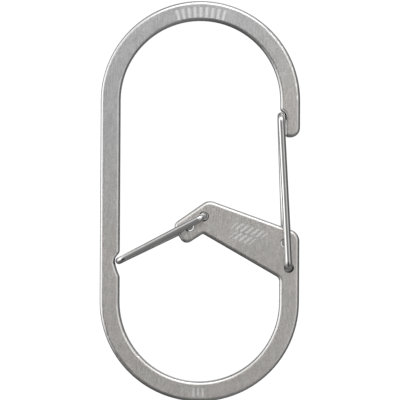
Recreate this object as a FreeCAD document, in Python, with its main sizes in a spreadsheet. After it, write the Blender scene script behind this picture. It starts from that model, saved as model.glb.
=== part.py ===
import FreeCAD, Part
import Sketcher
import math
import os

# Dual-chamber carabiner keyring: one flat steel plate and two spring wire gates.
# Millimetres. +Z runs up the plate, -Y is its front face, +X is the side of the long gate.
# The origin is the crest of the inner top arc, on the plate's middle plane, where it hangs.

doc = FreeCAD.newDocument("carabiner_keyring")

# ---------------------------------------------------------------- driving dimensions
SIZES = [
    # the plate: a long ring of flat band
    ("plate_thickness", 2.2),
    ("outer_radius", 15.5),
    ("inner_radius", 12.4),
    ("arc_spacing", 31.25),
    ("rim_round", 0.55),
    # the mouth in the right side, under the nose
    ("nose_end_z", -18.03),
    ("nose_corner_round", 1.5),
    ("nose_lip_round", 0.62),
    ("nose_step_x", 13.16),
    ("nose_step_top_z", -13.852),
    ("nose_step_low_z", -14.32),
    ("nose_step_lip", 0.62),
    ("nose_step_round", 0.64),
    # the slanted crossbar and its arm
    ("bar_top_z", -32.83),
    ("bar_corner_round", 1.9),
    ("apex_x", 1.31),
    ("apex_z", -27.79),
    ("apex_round", 1.8),
    ("arm_upper_x", -4.3),
    ("arm_upper_z", -31.73),
    ("arm_lower_x", -2.35),
    ("arm_lower_z", -34.93),
    ("arm_round", 1.1),
    ("crook_x", 0.49),
    ("crook_z", -33.09),
    ("crook_round", 0.35),
    ("bar_foot_z", -39.907),
    ("bar_foot_round", 0.9),
    # the notch in the spine for the short gate
    ("notch_top_z", -36.006),
    ("notch_depth", 0.76),
    ("notch_floor_top_z", -36.96),
    ("notch_floor_low_z", -37.63),
    ("notch_flank_depth", 0.4),
    ("notch_flank_z", -38.82),
    ("notch_low_z", -39.788),
    ("notch_round", 0.62),
    # the gates: bent spring wire
    ("wire_diameter", 1.1),
    ("wire_bend", 1.0),
    ("wire_gap", 0.08),
    ("wire_end_reach", 0.95),
    ("front_pivot_hole", 1.18),
    ("rear_pivot_hole", 1.38),
    ("front_pivot_mouth", 1.58),
    ("rear_pivot_mouth", 1.8),
    ("rear_pivot_far_mouth", 1.5),
    ("long_front_x", 13.88),
    ("long_front_z", -38.29),
    ("long_rear_x", 13.28),
    ("long_rear_z", -34.45),
    ("long_tip_x", 12.52),
    ("long_tip_z", -14.68),
    ("long_rear_slack", 0.07),
    ("short_front_x", 0.62),
    ("short_front_z", -30.36),
    ("short_rear_x", -1.62),
    ("short_rear_z", -32.02),
    ("short_tip_x", -12.52),
    ("short_tip_z", -37.35),
    ("short_rear_slack", 0.05),
]

sheet = doc.addObject("Spreadsheet::Sheet", "dims")
for row, (alias, value) in enumerate(SIZES, start=1):
    sheet.set("A%d" % row, alias)
    sheet.set("B%d" % row, str(value))
    sheet.setAlias("B%d" % row, alias)
doc.recompute()


def size(alias):
    return float(sheet.get(alias))


# ---------------------------------------------------------------- helpers
def origin_plane(body, role):
    for feature in body.Origin.OriginFeatures:
        if feature.Role == role:
            return feature
    raise ValueError(role)


def new_sketch(body, name, role):
    sketch = body.newObject("Sketcher::SketchObject", name)
    sketch.AttachmentSupport = [(origin_plane(body, role), "")]
    sketch.MapMode = "FlatFace"
    return sketch


def read(sketch, expression):
    value = sketch.evalExpression(expression)
    return float(getattr(value, "Value", value))


def dimension(sketch, kind, place, expression):
    """Adds one dimension, starting from the expression's own value, and binds it."""
    value = read(sketch, expression)
    index = sketch.addConstraint(Sketcher.Constraint(kind, *place, value))
    sketch.setExpression("Constraints[%d]" % index, expression)


def pin_point(sketch, geometry, point, across, up):
    """Ties one sketch point to the sketch's origin by two bound dimensions."""
    for kind, expression in (("DistanceX", across), ("DistanceY", up)):
        if abs(read(sketch, expression)) < 1e-9:
            axis = -2 if kind == "DistanceX" else -1
            sketch.addConstraint(Sketcher.Constraint("PointOnObject", geometry, point, axis))
        else:
            dimension(sketch, kind, (-1, 1, geometry, point), expression)


def polygon(sketch, corners):
    """A closed outline whose corners are pairs of expressions."""
    spots = [FreeCAD.Vector(read(sketch, a), read(sketch, b), 0) for a, b in corners]
    first = sketch.GeometryCount
    count = len(spots)
    for i in range(count):
        sketch.addGeometry(Part.LineSegment(spots[i], spots[(i + 1) % count]), False)
    for i in range(count):
        following = first + (i + 1) % count
        sketch.addConstraint(Sketcher.Constraint("Coincident", first + i, 2, following, 1))
    for i, (across, up) in enumerate(corners):
        pin_point(sketch, first + i, 1, across, up)


def circle(sketch, across, up, radius):
    centre = FreeCAD.Vector(read(sketch, across), read(sketch, up), 0)
    ring = Part.Circle(centre, FreeCAD.Vector(0, 0, 1), read(sketch, radius))
    index = sketch.addGeometry(ring, False)
    dimension(sketch, "Radius", (index,), radius)
    pin_point(sketch, index, 3, across, up)


def stadium(sketch, radius, top_up, low_up):
    """A slot outline: two half circles about points on the vertical axis, and two sides."""
    reach = read(sketch, radius)
    top = FreeCAD.Vector(0, read(sketch, top_up), 0)
    low = FreeCAD.Vector(0, read(sketch, low_up), 0)
    across = FreeCAD.Vector(reach, 0, 0)
    axis = FreeCAD.Vector(0, 0, 1)
    half = math.pi
    upper = sketch.addGeometry(Part.ArcOfCircle(Part.Circle(top, axis, reach), 0, half), False)
    left = sketch.addGeometry(Part.LineSegment(top - across, low - across), False)
    lower = sketch.addGeometry(Part.ArcOfCircle(Part.Circle(low, axis, reach), half, 2 * half), False)
    right = sketch.addGeometry(Part.LineSegment(low + across, top + across), False)
    loop = [(upper, 2, left, 1), (left, 2, lower, 1), (lower, 2, right, 1), (right, 2, upper, 1)]
    for joint in loop:
        sketch.addConstraint(Sketcher.Constraint("Tangent", *joint))
    dimension(sketch, "Radius", (upper,), radius)
    pin_point(sketch, upper, 3, "0", top_up)
    pin_point(sketch, lower, 3, "0", low_up)


def through(body, kind, name, sketch, length):
    """A pad or a pocket that reaches the same distance to both sides of its sketch."""
    feature = body.newObject(kind, name)
    feature.Profile = sketch
    feature.SideType = "Symmetric"
    feature.setExpression("Length", length)
    doc.recompute()
    return feature


def cut(body, name, sketch):
    """Pockets a sketch right through the plate and makes sure that it took something."""
    before = body.Shape.Volume
    feature = through(body, "PartDesign::Pocket", name, sketch, "dims.plate_thickness + 2")
    if body.Shape.Volume > before - 0.01:
        raise RuntimeError(name + " cut nothing")
    return feature


def upright_edges(shape, spots):
    """Names of the edges along Y that stand at the given places in the plate's outline."""
    names = []
    for across, up in spots:
        best = None
        for index, edge in enumerate(shape.Edges, start=1):
            start = edge.Vertexes[0].Point
            end = edge.Vertexes[-1].Point
            if abs(start.x - end.x) > 1e-6 or abs(start.z - end.z) > 1e-6:
                continue
            away = abs(start.x - across) + abs(start.z - up)
            if best is None or away < best[0]:
                best = (away, "Edge%d" % index)
        if best is None or best[0] > 0.05:
            raise RuntimeError("no corner at %.2f, %.2f" % (across, up))
        names.append(best[1])
    return names


def round_corners(body, name, spots, radius):
    before = body.Tip
    feature = body.newObject("PartDesign::Fillet", name)
    feature.Base = (before, upright_edges(before.Shape, spots))
    feature.setExpression("Radius", radius)
    doc.recompute()
    return feature


def face_edges(shape, test):
    """Names of the edges that lie in the front or the back face and pass a test."""
    half = size("plate_thickness") / 2
    names = []
    for index, edge in enumerate(shape.Edges, start=1):
        box = edge.BoundBox
        flat = box.YLength < 1e-6
        if flat and abs(abs(box.YMin) - half) < 1e-6 and test(edge):
            names.append("Edge%d" % index)
    return names


# ---------------------------------------------------------------- the plate
plate = doc.addObject("PartDesign::Body", "plate")
plate.Label = "plate"

# the band: an outer and an inner slot outline about the same two centres
TOP_CENTRE = "-dims.inner_radius"
LOW_CENTRE = "-dims.inner_radius - dims.arc_spacing"
band_sketch = new_sketch(plate, "band_outline", "XZ_Plane")
stadium(band_sketch, "dims.outer_radius", TOP_CENTRE, LOW_CENTRE)
stadium(band_sketch, "dims.inner_radius", TOP_CENTRE, LOW_CENTRE)
through(plate, "PartDesign::Pad", "band", band_sketch, "dims.plate_thickness")

# the mouth: the right side is open between the nose and the crossbar
mouth_sketch = new_sketch(plate, "mouth_outline", "XZ_Plane")
polygon(mouth_sketch, [
    ("dims.inner_radius - 1", "dims.nose_end_z"),
    ("dims.outer_radius + 1", "dims.nose_end_z"),
    ("dims.outer_radius + 1", "dims.bar_foot_z + 4"),
    ("dims.inner_radius - 1", "dims.bar_foot_z + 4"),
])
cut(plate, "mouth", mouth_sketch)

# the crossbar slants up from the right side to an apex and bends down into a short arm
bar_sketch = new_sketch(plate, "crossbar_outline", "XZ_Plane")
polygon(bar_sketch, [
    ("dims.outer_radius", "dims.bar_top_z"),
    ("dims.apex_x", "dims.apex_z"),
    ("dims.arm_upper_x", "dims.arm_upper_z"),
    ("dims.arm_lower_x", "dims.arm_lower_z"),
    ("dims.crook_x", "dims.crook_z"),
    ("dims.inner_radius", "dims.bar_foot_z"),
    ("dims.outer_radius", "dims.bar_foot_z"),
])
through(plate, "PartDesign::Pad", "crossbar", bar_sketch, "dims.plate_thickness")

# the step inside the nose, which the closed end of the long gate shuts into
step_sketch = new_sketch(plate, "nose_step_outline", "XZ_Plane")
polygon(step_sketch, [
    ("dims.inner_radius - 1", "dims.nose_step_top_z"),
    ("dims.inner_radius", "dims.nose_step_top_z"),
    ("dims.nose_step_x", "dims.nose_step_low_z"),
    ("dims.nose_step_x", "dims.nose_end_z - 1"),
    ("dims.inner_radius - 1", "dims.nose_end_z - 1"),
])
cut(plate, "nose_step", step_sketch)

# the notch in the spine, which the closed end of the short gate shuts into
notch_sketch = new_sketch(plate, "spine_notch_outline", "XZ_Plane")
SPINE_EDGE = "-dims.inner_radius"
NOTCH_FLOOR = "-dims.inner_radius - dims.notch_depth"
polygon(notch_sketch, [
    (SPINE_EDGE, "dims.notch_top_z"),
    (NOTCH_FLOOR, "dims.notch_floor_top_z"),
    (NOTCH_FLOOR, "dims.notch_floor_low_z"),
    ("-dims.inner_radius - dims.notch_flank_depth", "dims.notch_flank_z"),
    (SPINE_EDGE, "dims.notch_low_z"),
    ("-dims.inner_radius + 1", "dims.notch_low_z"),
    ("-dims.inner_radius + 1", "dims.notch_top_z"),
])
cut(plate, "spine_notch", notch_sketch)

# corners of the outline
outer = size("outer_radius")
inner = size("inner_radius")
floor_x = -inner - size("notch_depth")
round_corners(plate, "nose_corner", [(outer, size("nose_end_z"))], "dims.nose_corner_round")
round_corners(plate, "nose_lip", [(size("nose_step_x"), size("nose_end_z"))], "dims.nose_lip_round")
round_corners(
    plate, "nose_step_corner",
    [(size("nose_step_x"), size("nose_step_low_z"))], "dims.nose_step_round")
round_corners(plate, "nose_step_lip", [(inner, size("nose_step_top_z"))], "dims.nose_step_lip")
round_corners(plate, "bar_corner", [(outer, size("bar_top_z"))], "dims.bar_corner_round")
round_corners(plate, "apex_corner", [(size("apex_x"), size("apex_z"))], "dims.apex_round")
round_corners(
    plate, "arm_corners",
    [(size("arm_upper_x"), size("arm_upper_z")), (size("arm_lower_x"), size("arm_lower_z"))],
    "dims.arm_round")
round_corners(plate, "crook_corner", [(size("crook_x"), size("crook_z"))], "dims.crook_round")
round_corners(plate, "bar_foot_corner", [(inner, size("bar_foot_z"))], "dims.bar_foot_round")
round_corners(
    plate, "notch_corners",
    [(-inner, size("notch_top_z")), (floor_x, size("notch_floor_top_z"))],
    "dims.notch_round")
round_corners(
    plate, "notch_flank_corners",
    [(floor_x, size("notch_floor_low_z")),
     (-inner - size("notch_flank_depth"), size("notch_flank_z")),
     (-inner, size("notch_low_z"))],
    "dims.notch_round * 2")

# the tumbled rim: every edge of the front and back outlines is rounded over
rim = plate.newObject("PartDesign::Fillet", "tumbled_rim")
rim_base = plate.getObject("notch_flank_corners")
rim.Base = (rim_base, face_edges(rim_base.Shape, lambda edge: True))
rim.setExpression("Radius", "dims.rim_round")
doc.recompute()

# four pivot holes, two to a gate, all right through the plate and bevelled at both faces
holes_sketch = new_sketch(plate, "pivot_hole_outline", "XZ_Plane")
for gate in ("long", "short"):
    for end in ("front", "rear"):
        circle(
            holes_sketch, "dims.%s_%s_x" % (gate, end), "dims.%s_%s_z" % (gate, end),
            "dims.%s_pivot_hole / 2" % end)
cut(plate, "pivot_holes", holes_sketch)


def is_rim_of(radius, side):
    """A test for a round edge of one radius on the front face (-1) or the back face (+1)."""
    def test(edge):
        curve = edge.Curve
        round_edge = isinstance(curve, Part.Circle) and abs(curve.Radius - radius) < 1e-6
        return round_edge and curve.Center.y * side > 0
    return test


# the rear holes open widest at the back face, where the twisting wire enters them
for face, end, side, mouth in (
        ("front", "front", -1, "front_pivot_mouth"), ("back", "front", 1, "front_pivot_mouth"),
        ("front", "rear", -1, "rear_pivot_far_mouth"), ("back", "rear", 1, "rear_pivot_mouth")):
    drilled = plate.Tip
    rims = face_edges(drilled.Shape, is_rim_of(size(end + "_pivot_hole") / 2, side))
    bevel = plate.newObject("PartDesign::Chamfer", "%s_pivot_%s_bevels" % (end, face))
    bevel.Base = (drilled, rims)
    bevel.setExpression("Size", "(dims.%s - dims.%s_pivot_hole) / 2" % (mouth, end))
    doc.recompute()


# ---------------------------------------------------------------- the gates
def gate_leg(name, pivot, tip, side, slack):
    """One leg of a gate: half of its bent wire, from its pivot hole to the closed end.

    The body's own X runs from the pivot to the closed end and its own Y across the plate.
    Side is -1 for the leg on the front face and +1 for the leg on the back face. The wire
    starts the slack's length behind the middle of its hole, past the plate's middle plane.
    """
    body = doc.addObject("PartDesign::Body", name)
    body.Label = name
    pivot_x, pivot_z = "dims.%s_x" % pivot, "dims.%s_z" % pivot
    tip_x, tip_z = "dims.%s_x" % tip, "dims.%s_z" % tip
    run = "hypot(%s - %s; %s - %s)" % (tip_x, pivot_x, tip_z, pivot_z)
    sign = "" if side > 0 else "-"
    lane = sign + "(dims.plate_thickness / 2 + dims.wire_gap + dims.wire_diameter / 2)"
    end = ("-" if side > 0 else "") + "dims.wire_end_reach"

    # the wire's centre line: end in the hole, bend, long leg, bend, half of the closed end
    path = new_sketch(body, name + "_path", "XY_Plane")
    start = "-(%s)" % slack
    bend = size("wire_bend")
    begin = read(path, start)
    length = read(path, run)
    lane_y = read(path, lane)
    end_y = read(path, end)
    vector = FreeCAD.Vector
    points = [
        vector(begin, end_y, 0), vector(begin, lane_y - side * bend, 0),
        vector(begin + bend, lane_y, 0), vector(length - bend, lane_y, 0),
        vector(length, lane_y - side * bend, 0), vector(length, 0, 0)]
    near = Part.Circle(vector(begin + bend, lane_y - side * bend, 0), vector(0, 0, 1), bend)
    far = Part.Circle(vector(length - bend, lane_y - side * bend, 0), vector(0, 0, 1), bend)
    if side < 0:
        near_arc = Part.ArcOfCircle(near, math.pi, math.pi * 1.5)
        far_arc = Part.ArcOfCircle(far, math.pi * 1.5, math.pi * 2)
        near_ends = (1, 2)
        far_ends = (1, 2)
    else:
        near_arc = Part.ArcOfCircle(near, math.pi / 2, math.pi)
        far_arc = Part.ArcOfCircle(far, 0, math.pi / 2)
        near_ends = (2, 1)
        far_ends = (2, 1)
    path.addGeometry(Part.LineSegment(points[0], points[1]), False)
    path.addGeometry(near_arc, False)
    path.addGeometry(Part.LineSegment(points[2], points[3]), False)
    path.addGeometry(far_arc, False)
    path.addGeometry(Part.LineSegment(points[4], points[5]), False)
    for joint in (
            (0, 2, 1, near_ends[0]), (1, near_ends[1], 2, 1),
            (2, 2, 3, far_ends[0]), (3, far_ends[1], 4, 1)):
        path.addConstraint(Sketcher.Constraint("Tangent", *joint))
    path.addConstraint(Sketcher.Constraint("Vertical", 0))
    path.addConstraint(Sketcher.Constraint("Horizontal", 2))
    path.addConstraint(Sketcher.Constraint("Vertical", 4))
    dimension(path, "Radius", (1,), "dims.wire_bend")
    dimension(path, "Radius", (3,), "dims.wire_bend")
    pin_point(path, 0, 1, start, end)
    pin_point(path, 4, 2, run, "0")
    dimension(path, "DistanceY", (-1, 1, 2, 1), lane)

    # its round section, at the end in the hole
    section = new_sketch(body, name + "_section", "XZ_Plane")
    circle(section, start, "0", "dims.wire_diameter / 2")
    section.setExpression("AttachmentOffset.Base.z", "-(%s)" % end)
    doc.recompute()

    wire = body.newObject("PartDesign::AdditivePipe", name + "_wire")
    wire.Profile = section
    wire.Spine = (path, ["Edge1", "Edge2", "Edge3", "Edge4", "Edge5"])
    body.Placement = FreeCAD.Placement(vector(0, 0, 0), FreeCAD.Rotation(vector(0, 1, 0), -1))
    body.setExpression("Placement.Base.x", pivot_x)
    body.setExpression("Placement.Base.z", pivot_z)
    angle = "-atan2(%s - %s; %s - %s)" % (tip_z, pivot_z, tip_x, pivot_x)
    body.setExpression("Placement.Rotation.Angle", angle)
    doc.recompute()
    return body


gates = [
    gate_leg("long_gate_front_leg", "long_front", "long_tip", -1, "0"),
    gate_leg("long_gate_rear_leg", "long_rear", "long_tip", 1, "dims.long_rear_slack"),
    gate_leg("short_gate_front_leg", "short_front", "short_tip", -1, "0"),
    gate_leg("short_gate_rear_leg", "short_rear", "short_tip", 1, "dims.short_rear_slack"),
]

# ---------------------------------------------------------------- checks and files
doc.recompute()
for item in doc.Objects:
    if "Invalid" in item.State or "Error" in item.State:
        raise RuntimeError("%s is %s" % (item.Name, item.State))

pieces = [plate] + gates
for piece in pieces:
    shape = piece.Shape
    if shape.isNull() or not shape.isValid() or len(shape.Solids) != 1:
        raise RuntimeError(piece.Label + " is not one valid solid")

os.makedirs("parts", exist_ok=True)
for piece in pieces:
    piece.Shape.exportStep("parts/%s.step" % piece.Label)
    box = piece.Shape.optimalBoundingBox(False)
    print("%-22s %9.2f mm3  x %.2f..%.2f  y %.2f..%.2f  z %.2f..%.2f" % (
        piece.Label, piece.Shape.Volume,
        box.XMin, box.XMax, box.YMin, box.YMax, box.ZMin, box.ZMax))
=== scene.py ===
import math

import bpy
from mathutils import Matrix, Vector

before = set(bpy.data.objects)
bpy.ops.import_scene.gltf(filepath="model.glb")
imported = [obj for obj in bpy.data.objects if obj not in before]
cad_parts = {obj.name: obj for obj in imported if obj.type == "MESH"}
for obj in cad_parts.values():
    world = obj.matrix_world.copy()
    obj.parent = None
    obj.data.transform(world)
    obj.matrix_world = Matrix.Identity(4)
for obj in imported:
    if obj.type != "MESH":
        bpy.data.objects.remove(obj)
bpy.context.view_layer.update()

MM = 0.001
scene = bpy.context.scene
scene.view_settings.view_transform = "Standard"
scene.view_settings.look = "None"

# The carabiner, in millimetres: x to the long gate's side, y from front to back, z up.
HALF_THICKNESS = 1.1
TOP_ARC_Z = -12.4
PIVOT_HOLES = ((13.88, -38.29), (13.28, -34.45), (0.62, -30.36), (-1.62, -32.02))
CLOSED_ENDS = ((12.52, -14.68), (-12.52, -37.35))


# ---------------------------------------------------------------- node helpers
class Nodes:
    """Short ways to add shader nodes to one tree."""

    def __init__(self, tree):
        self.tree = tree
        tree.nodes.clear()

    def add(self, kind, **settings):
        node = self.tree.nodes.new(kind)
        for key, value in settings.items():
            setattr(node, key, value)
        return node

    def link(self, source, target):
        self.tree.links.new(source, target)

    def feed(self, socket, value):
        if isinstance(value, bpy.types.NodeSocket):
            self.link(value, socket)
        else:
            socket.default_value = value

    def math(self, operation, *values):
        node = self.add("ShaderNodeMath", operation=operation)
        for socket, value in zip(node.inputs, values):
            self.feed(socket, value)
        return node.outputs[0]

    def chain(self, operation, values):
        result = values[0]
        for value in values[1:]:
            result = self.math(operation, result, value)
        return result

    def plus(self, *values):
        return self.chain("ADD", values)

    def minus(self, *values):
        return self.chain("SUBTRACT", values)

    def times(self, *values):
        return self.chain("MULTIPLY", values)

    def greatest(self, *values):
        return self.chain("MAXIMUM", values)

    def length(self, a, b):
        """Distance of the point a, b from zero."""
        return self.math("SQRT", self.plus(self.times(a, a), self.times(b, b)))

    def steps(self, value, low, high, out_low=0.0, out_high=1.0):
        """A smooth step of a value from low to high, scaled to the two outputs."""
        node = self.add("ShaderNodeMapRange", interpolation_type="SMOOTHSTEP", clamp=True)
        for socket, item in zip(node.inputs, (value, low, high, out_low, out_high)):
            self.feed(socket, item)
        return node.outputs[0]

    def noise(self, vector, scale, detail, roughness):
        node = self.add("ShaderNodeTexNoise")
        self.feed(node.inputs["Vector"], vector)
        node.inputs["Scale"].default_value = scale
        node.inputs["Detail"].default_value = detail
        node.inputs["Roughness"].default_value = roughness
        return node.outputs["Fac"]

    def stretch(self, vector, scale, turn=0.0):
        """A vector turned about the axis through the plate, then scaled."""
        node = self.add("ShaderNodeMapping")
        self.feed(node.inputs["Vector"], vector)
        node.inputs["Rotation"].default_value = (0, turn, 0)
        node.inputs["Scale"].default_value = scale
        return node.outputs["Vector"]

    def mix(self, factor, a, b):
        node = self.add("ShaderNodeMix", data_type="RGBA")
        self.feed(node.inputs["Factor"], factor)
        self.feed(node.inputs[6], a)
        self.feed(node.inputs[7], b)
        return node.outputs[2]

    def place(self, kind="Object"):
        """Texture coordinates of one kind: the whole vector and its x, y and z."""
        vector = self.add("ShaderNodeTexCoord").outputs[kind]
        apart = self.add("ShaderNodeSeparateXYZ")
        self.link(vector, apart.inputs[0])
        return vector, *apart.outputs

    def metal(self, colour, rough, height, bump_strength, bump_depth):
        """Ends a material's tree in one bumpy metal."""
        bump = self.add("ShaderNodeBump")
        bump.inputs["Strength"].default_value = bump_strength
        bump.inputs["Distance"].default_value = bump_depth
        self.link(height, bump.inputs["Height"])
        shader = self.add("ShaderNodeBsdfPrincipled")
        shader.inputs["Metallic"].default_value = 1.0
        self.link(colour, shader.inputs["Base Color"])
        self.link(rough, shader.inputs["Roughness"])
        self.link(bump.outputs["Normal"], shader.inputs["Normal"])
        out = self.add("ShaderNodeOutputMaterial")
        self.link(shader.outputs[0], out.inputs["Surface"])


def new_material(name):
    material = bpy.data.materials.new(name)
    material.use_nodes = True
    return material, Nodes(material.node_tree)


def grey(level, warmth=0.0):
    return (level * (1 + warmth), level, level * (1 - warmth), 1.0)


# ---------------------------------------------------------------- etched marks
MARK_SHARE = 0.46
MARK_HALF_HEIGHT = 0.62
MARK_EDGE = 0.04
SCALE_RADIUS = 13.75
SCALE_HALF_WIDTH = 0.80
SCALE_HALF_ANGLE = 0.28
TICK_PITCH = 0.066
TICK_SHARE = 0.48
ROWS_MIDDLE = (7.1, -33.0)
ROWS_LEAN = math.radians(-19.6)
ROWS_SLANT = 0.62
ROWS_PITCH = 0.84
ROWS = ((0.72, 0.0, 2.53), (-0.78, 0.35, 1.68))  # height over the middle, shift, half length
FOOT_MIDDLE = (-0.12, -57.7)
FOOT_PITCH = 0.72
FOOT_HALF_LENGTH = 1.08


def within(n, value, half, soft):
    """One where a value is less than half from zero, with a soft border."""
    return n.steps(n.math("ABSOLUTE", value), half + soft, half - soft)


def bars(n, value, pitch, share):
    """Evenly spaced bars that fill a share of their pitch, one of them centred on zero."""
    place = n.math("FRACT", n.plus(n.math("DIVIDE", value, pitch), 0.5))
    return within(n, n.minus(place, 0.5), share / 2, 0.05)


def etched_marks(n, x, z):
    """Where the plate carries plain laser-etched marks: x and z are in millimetres."""
    # a short graduated scale along the top arc
    up = n.minus(z, TOP_ARC_Z)
    angle = n.math("ARCTAN2", x, up)
    from_middle = n.minus(n.length(x, up), SCALE_RADIUS)
    ticks = n.times(
        bars(n, angle, TICK_PITCH, TICK_SHARE),
        within(n, angle, SCALE_HALF_ANGLE, 0.003),
        within(n, from_middle, SCALE_HALF_WIDTH, MARK_EDGE))

    # two rows of plain slanted bars along the crossbar
    right = n.minus(x, ROWS_MIDDLE[0])
    rise = n.minus(z, ROWS_MIDDLE[1])
    cos_lean = math.cos(ROWS_LEAN)
    sin_lean = math.sin(ROWS_LEAN)
    along = n.plus(n.times(right, cos_lean), n.times(rise, sin_lean))
    over = n.minus(n.times(rise, cos_lean), n.times(right, sin_lean))
    tilted = n.minus(along, n.times(over, ROWS_SLANT))
    marks = ticks
    for middle, shift, half in ROWS:
        spot = n.minus(tilted, shift)
        row = n.times(
            bars(n, spot, ROWS_PITCH, MARK_SHARE),
            within(n, spot, half, 0.03),
            within(n, n.minus(over, middle), MARK_HALF_HEIGHT, MARK_EDGE))
        marks = n.greatest(marks, row)

    # three upright bars at the foot
    side = n.minus(x, FOOT_MIDDLE[0])
    foot = n.times(
        bars(n, side, FOOT_PITCH, MARK_SHARE),
        within(n, side, FOOT_HALF_LENGTH, 0.02),
        within(n, n.minus(z, FOOT_MIDDLE[1]), MARK_HALF_HEIGHT, MARK_EDGE))
    return n.greatest(marks, foot)


# ---------------------------------------------------------------- materials
# hairline scratches: turn in radians, length and width in metres, share of the face
HAIRLINES = (
    (0.05, 1.9 * MM, 0.07 * MM, 0.40),
    (0.62, 1.3 * MM, 0.06 * MM, 0.37),
    (-0.75, 1.5 * MM, 0.06 * MM, 0.37))
GRAIN_LOW = 0.38
GRAIN_HIGH = 0.62


def around(n, x, z, spots, half, soft):
    """One within a distance of any of some spots: x and z are in millimetres."""
    inside = 0.0
    for spot_x, spot_z in spots:
        reach = n.length(n.minus(x, spot_x), n.minus(z, spot_z))
        inside = n.greatest(inside, n.steps(reach, half + soft, half - soft))
    return inside


def scratches(n, place, turn, length, width, amount):
    """Thin tumbling scratches in one direction."""
    field = n.noise(n.stretch(place, (1 / width, 1 / width, 1 / length), turn), 1.0, 1.0, 0.5)
    return n.steps(field, 1 - amount, 1 - amount + 0.06)


def plate_steel():
    """Tumbled stainless plate: fine grain, random hairlines, smoother rims, painted shade in the
    holes and at the closed ends.
    """
    material, n = new_material("tumbled_plate_steel")
    place, *metres = n.place()
    x, y, z = (n.times(item, 1 / MM) for item in metres)
    depth = n.math("ABSOLUTE", y)
    rim = n.steps(depth, HALF_THICKNESS - 0.02, HALF_THICKNESS - 0.12)
    front_face = n.steps(y, 0.1 - HALF_THICKNESS, 0.05 - HALF_THICKNESS)
    marks = n.times(etched_marks(n, x, z), front_face)

    streak = n.noise(n.stretch(place, (8000, 8000, 900)), 1.0, 3.0, 0.6)
    cloud = n.noise(n.stretch(place, (300, 300, 180)), 1.0, 3.0, 0.55)
    speck = n.noise(place, 4200.0, 2.0, 0.65)
    hair = 0.0
    for turn, length, width, amount in HAIRLINES:
        hair = n.greatest(hair, scratches(n, place, turn, length, width, amount))

    # painted light: the face is painted a little warmer and lighter towards the foot and the long
    # gate's side
    grain = n.plus(n.times(streak, 0.48), n.times(cloud, 0.12), n.times(speck, 0.40))
    painted_light = n.steps(n.minus(n.times(x, 0.8), z), 5.0, 26.0)
    light = n.mix(painted_light, grey(0.84), grey(0.87, 0.04))
    dark = n.mix(painted_light, grey(0.67), grey(0.69, 0.04))
    face = n.mix(n.steps(grain, GRAIN_LOW, GRAIN_HIGH), dark, light)
    face = n.mix(n.times(hair, 0.4), face, grey(0.93, 0.01))
    colour = n.mix(rim, face, grey(0.64, 0.004))
    colour = n.mix(n.times(marks, 0.75), colour, grey(0.97, 0.004))
    # painted shade: near-black paint in the pivot holes and around the gates' closed ends, where the
    # wires shade the plate
    painted_shade = n.greatest(
        around(n, x, z, PIVOT_HOLES, 0.74, 0.05),
        around(n, x, z, CLOSED_ENDS, 0.84, 0.06))
    colour = n.mix(n.times(painted_shade, 0.88), colour, grey(0.05, 0.02))

    rough = n.steps(grain, GRAIN_LOW, GRAIN_HIGH, 0.37, 0.43)
    rough = n.minus(rough, n.times(rim, 0.10))
    rough = n.plus(rough, n.times(marks, 0.12))
    height = n.plus(n.times(streak, 0.4), n.times(speck, 0.6))
    height = n.minus(height, n.times(hair, 0.4), marks)
    n.metal(colour, rough, height, 0.16, 0.015 * MM)
    return material


def wire_steel():
    """Bright drawn spring wire with a faint grain."""
    material, n = new_material("drawn_wire_steel")
    place = n.place()[0]
    cloud = n.noise(place, 700.0, 3.0, 0.55)
    speck = n.noise(place, 12000.0, 2.0, 0.6)
    colour = n.mix(cloud, grey(0.60, 0.006), grey(0.72, 0.004))
    rough = n.steps(cloud, 0.3, 0.7, 0.05, 0.09)
    n.metal(colour, rough, speck, 0.12, 0.01 * MM)
    return material


plate_material = plate_steel()
wire_material = wire_steel()
for name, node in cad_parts.items():
    node.data.materials.clear()
    node.data.materials.append(plate_material if name == "plate" else wire_material)


# ---------------------------------------------------------------- studio
# A light tent: its level straight ahead of the front face, then for each wall pairs of an
# angle from straight ahead, in degrees, and the level beyond it.
AHEAD = 0.325
LEFT_WALL = ((47, 1.85), (100, 0.2), (146, 0.62))
RIGHT_WALL = ((14, 0.85), (52, 0.14), (146, 0.62))
TOP_WALL = ((22, 1.15), (72, 0.42), (146, 0.62))
FOOT_WALL = ((12, 0.10), (64, 0.32), (98, 0.06), (146, 0.62))
WALL_EDGE = 12.0
BACKDROP = 1.05


def wall(n, front, changes):
    """Brightness of one wall of the tent, from straight ahead of the object outwards."""
    level, value = AHEAD, AHEAD
    for angle, beyond in changes:
        soft = min(WALL_EDGE, angle - 1.0)
        low = math.cos(math.radians(angle + soft))
        high = math.cos(math.radians(angle - soft))
        value = n.times(value, n.steps(front, low, high, beyond / level, 1.0))
        level = beyond
    return value


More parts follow.
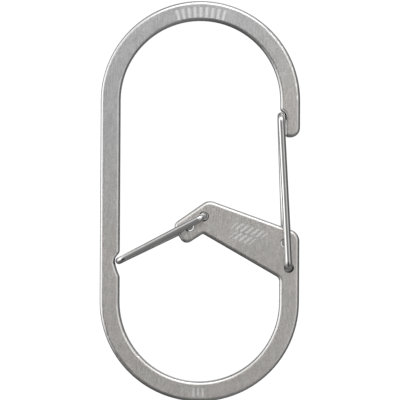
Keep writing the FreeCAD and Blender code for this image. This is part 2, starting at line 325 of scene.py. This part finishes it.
def build_world():
    """The tent, seen only in the metal, and a plain white backdrop for the camera."""
    world = bpy.data.worlds.new("studio")
    scene.world = world
    world.use_nodes = True
    n = Nodes(world.node_tree)
    x, y, z = n.place("Generated")[1:]
    front = n.times(y, -1.0)
    width = n.times(x, x)
    height = n.times(z, z)
    spread = n.plus(width, height, 1e-6)
    lean = n.math("DIVIDE", x, n.math("SQRT", spread))
    rise = n.math("DIVIDE", z, n.math("SQRT", spread))
    left = n.times(wall(n, front, LEFT_WALL), n.steps(rise, -0.75, 0.0, 0.15, 1.0))
    right = wall(n, front, RIGHT_WALL)
    top = n.times(wall(n, front, TOP_WALL), n.steps(lean, -0.5, 0.2, 0.62, 1.35))
    foot = n.times(wall(n, front, FOOT_WALL), n.steps(lean, -0.4, 0.3, 0.4, 1.0))
    level = 0.0
    for share, axis, side, light in (
            (width, x, "LESS_THAN", left), (width, x, "GREATER_THAN", right),
            (height, z, "GREATER_THAN", top), (height, z, "LESS_THAN", foot)):
        part = n.times(n.math("DIVIDE", share, spread), n.math(side, axis, 0.0), light)
        level = n.plus(level, part)
    tent = n.add("ShaderNodeBackground")
    tent.inputs["Color"].default_value = grey(1.0)
    n.link(level, tent.inputs["Strength"])
    white = n.add("ShaderNodeBackground")
    white.inputs["Color"].default_value = grey(1.0)
    white.inputs["Strength"].default_value = BACKDROP
    either = n.add("ShaderNodeMixShader")
    n.link(n.add("ShaderNodeLightPath").outputs["Is Camera Ray"], either.inputs[0])
    n.link(tent.outputs[0], either.inputs[1])
    n.link(white.outputs[0], either.inputs[2])
    out = n.add("ShaderNodeOutputWorld")
    n.link(either.outputs[0], out.inputs["Surface"])


def area_light(name, place, aim, size, power, glossy=True):
    data = bpy.data.lights.new(name, "AREA")
    data.shape = "RECTANGLE"
    data.size, data.size_y = size
    data.energy = power
    light = bpy.data.objects.new(name, data)
    scene.collection.objects.link(light)
    light.location = place
    light.rotation_euler = (Vector(aim) - Vector(place)).to_track_quat("-Z", "Y").to_euler()
    light.visible_glossy = glossy


FLOOR_SIDES = 96
FLOOR_RADIUS = 0.2
FLOOR_Z = -0.072
FLOOR_FADE = (0.1, 0.198)


def build_floor():
    """A round pale floor well under the hanging carabiner, fading out at its edge."""
    mesh = bpy.data.meshes.new("floor")
    turns = [2 * math.pi * i / FLOOR_SIDES for i in range(FLOOR_SIDES)]
    ring = [(FLOOR_RADIUS * math.cos(turn), FLOOR_RADIUS * math.sin(turn), FLOOR_Z) for turn in turns]
    mesh.from_pydata(ring, [], [list(range(FLOOR_SIDES))])
    floor = bpy.data.objects.new("floor", mesh)
    scene.collection.objects.link(floor)
    material, n = new_material("pale_floor")
    shader = n.add("ShaderNodeBsdfDiffuse")
    shader.inputs["Color"].default_value = grey(0.93)
    clear = n.add("ShaderNodeBsdfTransparent")
    x, y = n.place()[1:3]
    mixed = n.add("ShaderNodeMixShader")
    n.link(n.steps(n.length(x, y), *FLOOR_FADE), mixed.inputs[0])
    n.link(shader.outputs[0], mixed.inputs[1])
    n.link(clear.outputs[0], mixed.inputs[2])
    out = n.add("ShaderNodeOutputMaterial")
    n.link(mixed.outputs[0], out.inputs["Surface"])
    mesh.materials.append(material)
    floor.visible_glossy = False


build_world()
area_light("softbox_top", (0.01, -0.16, 0.14), (0, 0, -0.02), (0.16, 0.12), 0.12)
area_light("floor_fill", (0, 0, 0.5), (0, 0, -0.07), (0.5, 0.5), 9.0, glossy=False)
build_floor()

# ---------------------------------------------------------------- camera
# Straight at the front face from far enough that it is almost parallel.
DISTANCE = 0.6
FRAME_WIDTH = 62.104 * MM
AIM = (0.011 * MM, -27.83 * MM)
ROLL = math.radians(0.33)
camera_data = bpy.data.cameras.new("camera")
camera_data.sensor_width = 36.0
camera_data.lens = camera_data.sensor_width * (DISTANCE - HALF_THICKNESS * MM) / FRAME_WIDTH
camera_data.clip_start = 0.01
camera = bpy.data.objects.new("camera", camera_data)
scene.collection.objects.link(camera)
upright = Matrix.Rotation(math.pi / 2, 4, "X")
position = Matrix.Translation((AIM[0], -DISTANCE, AIM[1]))
camera.matrix_world = position @ upright @ Matrix.Rotation(ROLL, 4, "Z")
scene.camera = camera
